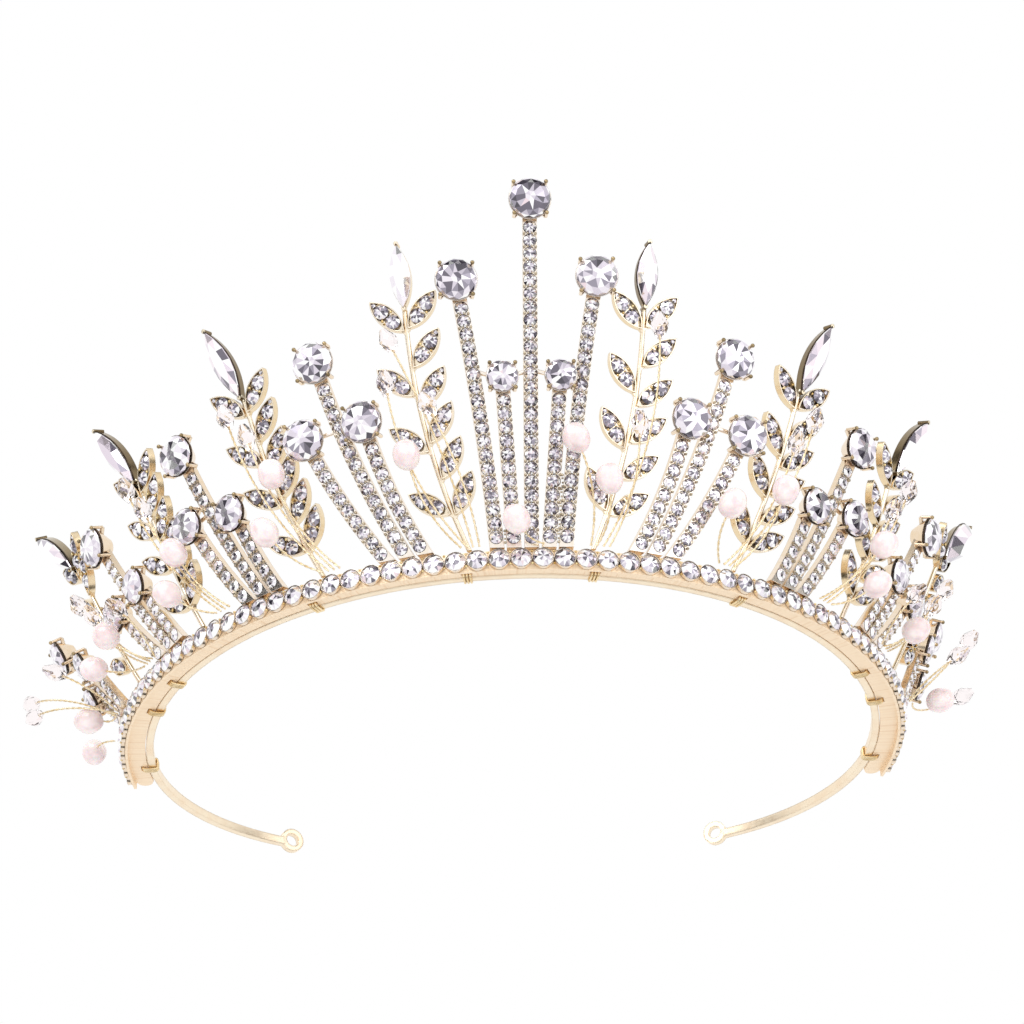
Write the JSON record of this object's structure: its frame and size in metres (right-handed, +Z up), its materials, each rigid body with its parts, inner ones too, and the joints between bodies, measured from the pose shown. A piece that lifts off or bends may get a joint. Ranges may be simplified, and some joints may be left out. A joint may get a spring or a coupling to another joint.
{
  "type": "bridal tiara",
  "caption": "Gold-plated bridal tiara with crystal-headed jewelled stems, leaf sprigs, pearl sprays, a round-stone base row and a hair hoop that ends in eyelets.",
  "frame": {"origin": "centre of the tiara's box, at the plane it rests on", "axes": "+X to the right as seen from in front of the wearer, -Y is the front of the band, +Z up from the band to the crest"},
  "size_m": [0.1857, 0.1413, 0.0668],
  "materials": {
    "polished_gold": "polished light gold plate",
    "plated_gold": "gold plate over a casting",
    "gold_wire": "drawn wire, gold plated",
    "crystal": "cut, foil-backed",
    "clear_bead": "cut and polished",
    "pearl": "pearl lacquer"
  },
  "bodies": {
    "root": {"base_strip": "polished_gold", "hair_hoop": "polished_gold", "base_row_cups": "plated_gold", "base_row_stones": "crystal", "binding_ties": "gold_wire", "centre_frame": "plated_gold", "centre_stones": "crystal", "centre_crystals": "crystal", "right_1_frame": "plated_gold", "right_1_stones": "crystal", "right_1_crystals": "crystal", "right_2_frame": "plated_gold", "right_2_stones": "crystal", "right_2_crystals": "crystal", "right_3_frame": "plated_gold", "right_3_stones": "crystal", "right_3_crystals": "crystal", "right_4_frame": "plated_gold", "right_4_stones": "crystal", "right_4_crystals": "crystal", "left_1_frame": "plated_gold", "left_1_stones": "crystal", "left_1_crystals": "crystal", "left_2_frame": "plated_gold", "left_2_stones": "crystal", "left_2_crystals": "crystal", "left_3_frame": "plated_gold", "left_3_stones": "crystal", "left_3_crystals": "crystal", "left_4_frame": "plated_gold", "left_4_stones": "crystal", "left_4_crystals": "crystal", "right_1_sprig": "plated_gold", "right_1_sprig_stones": "crystal", "right_2_sprig": "plated_gold", "right_2_sprig_stones": "crystal", "right_3_sprig": "plated_gold", "right_3_sprig_stones": "crystal", "right_4_sprig": "plated_gold", "right_4_sprig_stones": "crystal", "left_1_sprig": "plated_gold", "left_1_sprig_stones": "crystal", "left_2_sprig": "plated_gold", "left_2_sprig_stones": "crystal", "left_3_sprig": "plated_gold", "left_3_sprig_stones": "crystal", "left_4_sprig": "plated_gold", "left_4_sprig_stones": "crystal", "left_spray_wires": "gold_wire", "right_spray_wires": "gold_wire", "spray_pearls": "pearl", "spray_beads": "clear_bead"}
  },
  "joints": []
}
